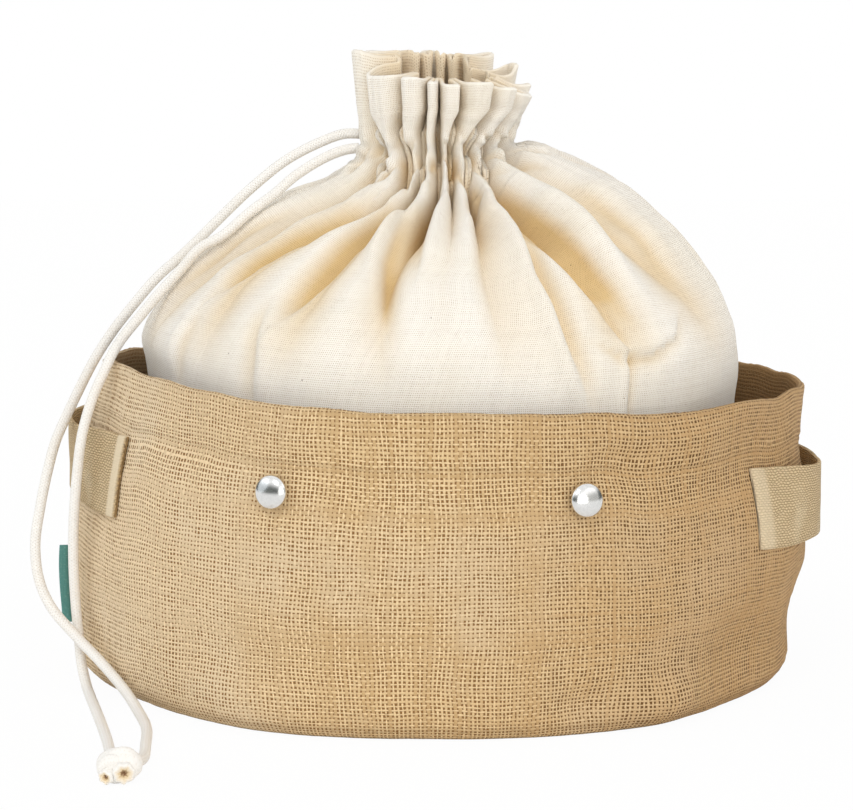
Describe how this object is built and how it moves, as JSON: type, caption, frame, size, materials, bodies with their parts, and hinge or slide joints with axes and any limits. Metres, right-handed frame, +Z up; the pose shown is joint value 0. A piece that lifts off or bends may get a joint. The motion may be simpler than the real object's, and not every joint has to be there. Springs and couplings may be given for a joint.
{
  "type": "storage bag",
  "caption": "Round jute storage basket with side loop handles and a drawstring cotton inner bag gathered shut at a ruffled neck.",
  "frame": {"origin": "on the surface it stands on, on the axis of the basket and the bag's neck", "axes": "+Z up, -Y toward the front with the two stud caps, +X toward the right loop handle"},
  "size_m": [0.3863, 0.4288, 0.3042],
  "materials": {
    "jute": "natural open-weave jute cloth, matte",
    "cotton": "unbleached plain-weave cotton with dark seed specks, matte",
    "webbing": "coarse cotton webbing, matte",
    "cord": "braided cotton cord, matte",
    "stud": "polished press-stud cap",
    "label": "plain woven teal tab, satin"
  },
  "bodies": {
    "root": {"jute_wall": "jute", "jute_base": "jute", "cotton_bag": "cotton", "handle_left": "webbing", "handle_right": "webbing", "stud_left": "stud", "stud_right": "stud", "side_label": "label", "cord_outer": "cord", "cord_inner": "cord", "cord_knot": "cord"}
  },
  "joints": []
}
